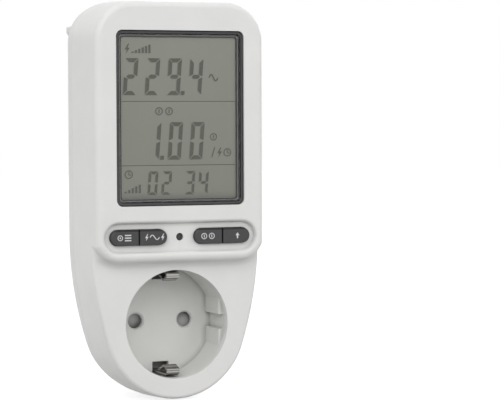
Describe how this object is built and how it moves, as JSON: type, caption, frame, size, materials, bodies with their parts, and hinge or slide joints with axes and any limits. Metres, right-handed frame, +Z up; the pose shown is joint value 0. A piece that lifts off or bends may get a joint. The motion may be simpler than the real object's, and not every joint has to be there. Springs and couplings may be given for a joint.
{
  "type": "plug-in energy meter",
  "caption": "Plug-in energy meter: a tall rounded housing with a segment display and sunk keys over an earthed round socket, and the matching earthed plug on its back.",
  "frame": {"origin": "on the plane of the wall socket's face, on the axis that the meter's plug and its own socket share", "axes": "+Z up along the housing, front with the display towards -Y, +X to the right when seen from the front; the plug points along +Y"},
  "size_m": [0.0648, 0.074, 0.1428],
  "materials": {
    "housing": "fine satin, light grey white",
    "cover": "fine satin, light grey white",
    "bezel": "polished black",
    "window": "clear and polished",
    "display_glass": "polished, with a polariser film",
    "reflector": "grey diffuse film",
    "white_plastic": "moulded, satin",
    "black_plastic": "moulded, satin",
    "board": "solder resist over glass fibre board",
    "rubber_part": "silicone rubber, matt",
    "key_cap": "dark grey, satin, with pale signs",
    "insert": "grey, half gloss",
    "contact": "pressed sheet, bright",
    "plated": "nickel plated",
    "steel": "zinc plated",
    "can": "sleeved metal can",
    "component_blue": "dipped coating",
    "component_yellow": "moulded box",
    "sleeve": "shrink sleeve"
  },
  "bodies": {
    "meter": {"front_housing": "housing", "rear_cover": "cover", "plug_body": "cover", "housing_screws": "steel", "board_screws": "steel", "window_bezel": "bezel", "display_window": "window", "lcd_front_glass": "display_glass", "lcd_rear_glass": "display_glass", "lcd_reflector": "reflector", "zebra_strip": "rubber_part", "display_holder": "white_plastic", "display_board": "board", "display_driver": "black_plastic", "clock_crystal": "steel", "keypad_mat": "rubber_part", "socket_insert": "insert", "insert_screws": "steel", "contact_carrier": "white_plastic", "shutter_spring": "steel", "live_contact": "contact", "neutral_contact": "contact", "live_pin": "plated", "neutral_pin": "plated", "live_pin_strap": "contact", "neutral_pin_strap": "contact", "earth_strap": "plated", "power_board": "board", "film_capacitor": "component_yellow", "varistor": "component_blue", "electrolytic_capacitors": "can", "metering_chip": "black_plastic", "dropper_resistor": "component_blue", "current_shunt": "contact", "backup_cells": "sleeve", "link_header": "black_plastic", "link_socket_block": "black_plastic", "link_pins": "plated"},
    "key_1_body": {"key_1": "key_cap", "plunger_1": "rubber_part"},
    "key_2_body": {"key_2": "key_cap", "plunger_2": "rubber_part"},
    "key_3_body": {"key_3": "key_cap", "plunger_3": "rubber_part"},
    "key_4_body": {"key_4": "key_cap", "plunger_4": "rubber_part"},
    "reset_body": {"reset_button": "rubber_part"},
    "shutter_body": {"shutter_rotor": "white_plastic"}
  },
  "joints": [
    {"name": "key_1_press", "type": "slide", "parent": "meter", "child": "key_1_body", "axis": [0, 1, 0], "range_m": [0, 0.0008], "stiffness_N_per_m": 900, "springref_m": -0.0006},
    {"name": "key_2_press", "type": "slide", "parent": "meter", "child": "key_2_body", "axis": [0, 1, 0], "range_m": [0, 0.0008], "stiffness_N_per_m": 900, "springref_m": -0.0006},
    {"name": "key_3_press", "type": "slide", "parent": "meter", "child": "key_3_body", "axis": [0, 1, 0], "range_m": [0, 0.0008], "stiffness_N_per_m": 900, "springref_m": -0.0006},
    {"name": "key_4_press", "type": "slide", "parent": "meter", "child": "key_4_body", "axis": [0, 1, 0], "range_m": [0, 0.0008], "stiffness_N_per_m": 900, "springref_m": -0.0006},
    {"name": "reset_press", "type": "slide", "parent": "meter", "child": "reset_body", "axis": [0, 1, 0], "range_m": [0, 0.0008], "stiffness_N_per_m": 900, "springref_m": -0.0006},
    {"name": "shutter_turn", "type": "hinge", "parent": "meter", "child": "shutter_body", "pos_m": [0, -0.0119, 0], "axis": [0, 1, 0], "range_deg": [0, 48], "stiffness_Nm_per_rad": 0.002, "springref_deg": -11.46}
  ]
}
